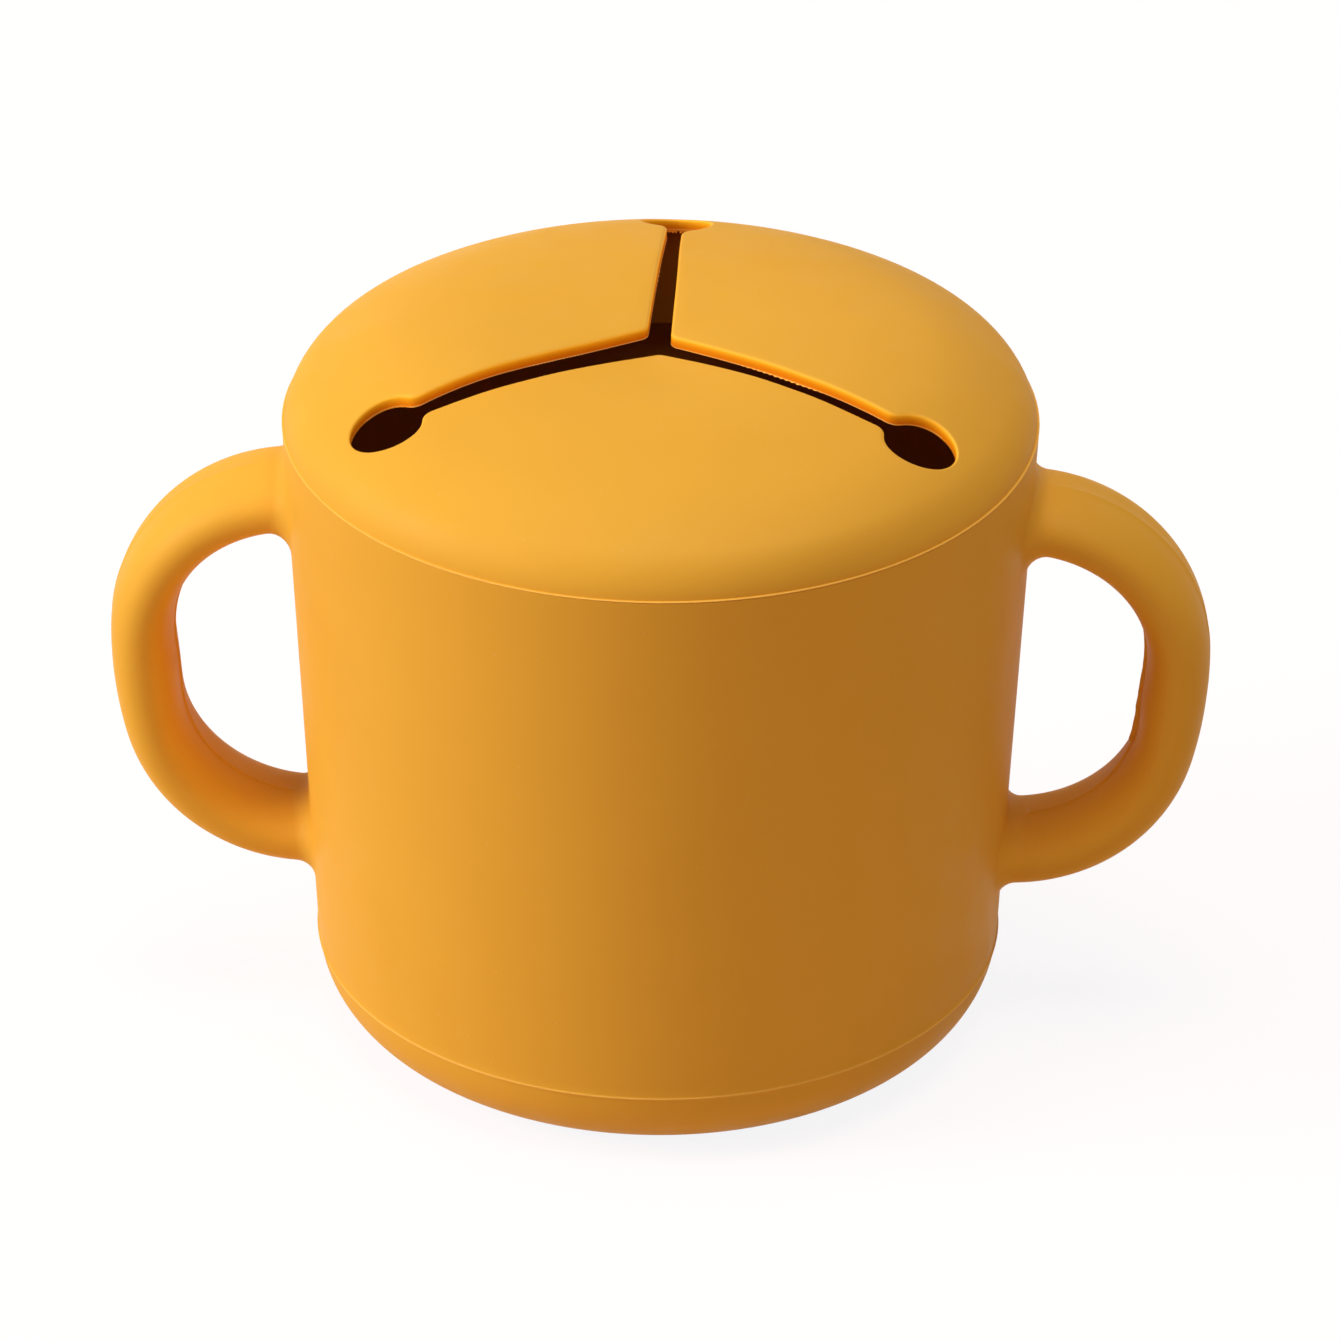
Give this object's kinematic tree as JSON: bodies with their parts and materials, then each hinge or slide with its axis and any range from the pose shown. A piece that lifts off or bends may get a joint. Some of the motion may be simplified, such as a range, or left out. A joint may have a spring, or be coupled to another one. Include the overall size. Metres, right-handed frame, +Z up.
{
  "type": "toddler snack container",
  "caption": "Soft silicone toddler snack cup with moulded side handles and a domed plug-in lid whose Y-shaped slit opens into flaps for a small hand.",
  "frame": {"origin": "on the cup's axis, in the plane that the cup stands on", "axes": "+Z up along the axis of the cup; the two handles lie along X, with handle_right at +X; the single rear arm of the slit points along +Y, and the front is -Y"},
  "size_m": [0.1326, 0.0904, 0.0908],
  "materials": {
    "silicone": "smooth satin-matte moulded silicone, honey yellow"
  },
  "bodies": {
    "cup": {"cup_body": "silicone", "handle_left": "silicone", "handle_right": "silicone"},
    "lid": {"lid": "silicone"},
    "flap_front": {"flap_front": "silicone"},
    "flap_rear_left": {"flap_rear_left": "silicone"},
    "flap_rear_right": {"flap_rear_right": "silicone"}
  },
  "joints": [
    {"name": "lid_lift", "type": "slide", "parent": "cup", "child": "lid", "axis": [0, 0, 1], "range_m": [0, 0.03]},
    {"name": "flap_front_bend", "type": "hinge", "parent": "lid", "child": "flap_front", "pos_m": [0, -0.018, 0.0876], "axis": [-1, 0, 0], "range_deg": [-30, 70], "stiffness_Nm_per_rad": 0.01},
    {"name": "flap_rear_left_bend", "type": "hinge", "parent": "lid", "child": "flap_rear_left", "pos_m": [-0.01559, 0.009, 0.0876], "axis": [0.5, 0.866, 0], "range_deg": [-30, 70], "stiffness_Nm_per_rad": 0.01},
    {"name": "flap_rear_right_bend", "type": "hinge", "parent": "lid", "child": "flap_rear_right", "pos_m": [0.01559, 0.009, 0.0876], "axis": [0.5, -0.866, 0], "range_deg": [-30, 70], "stiffness_Nm_per_rad": 0.01}
  ]
}
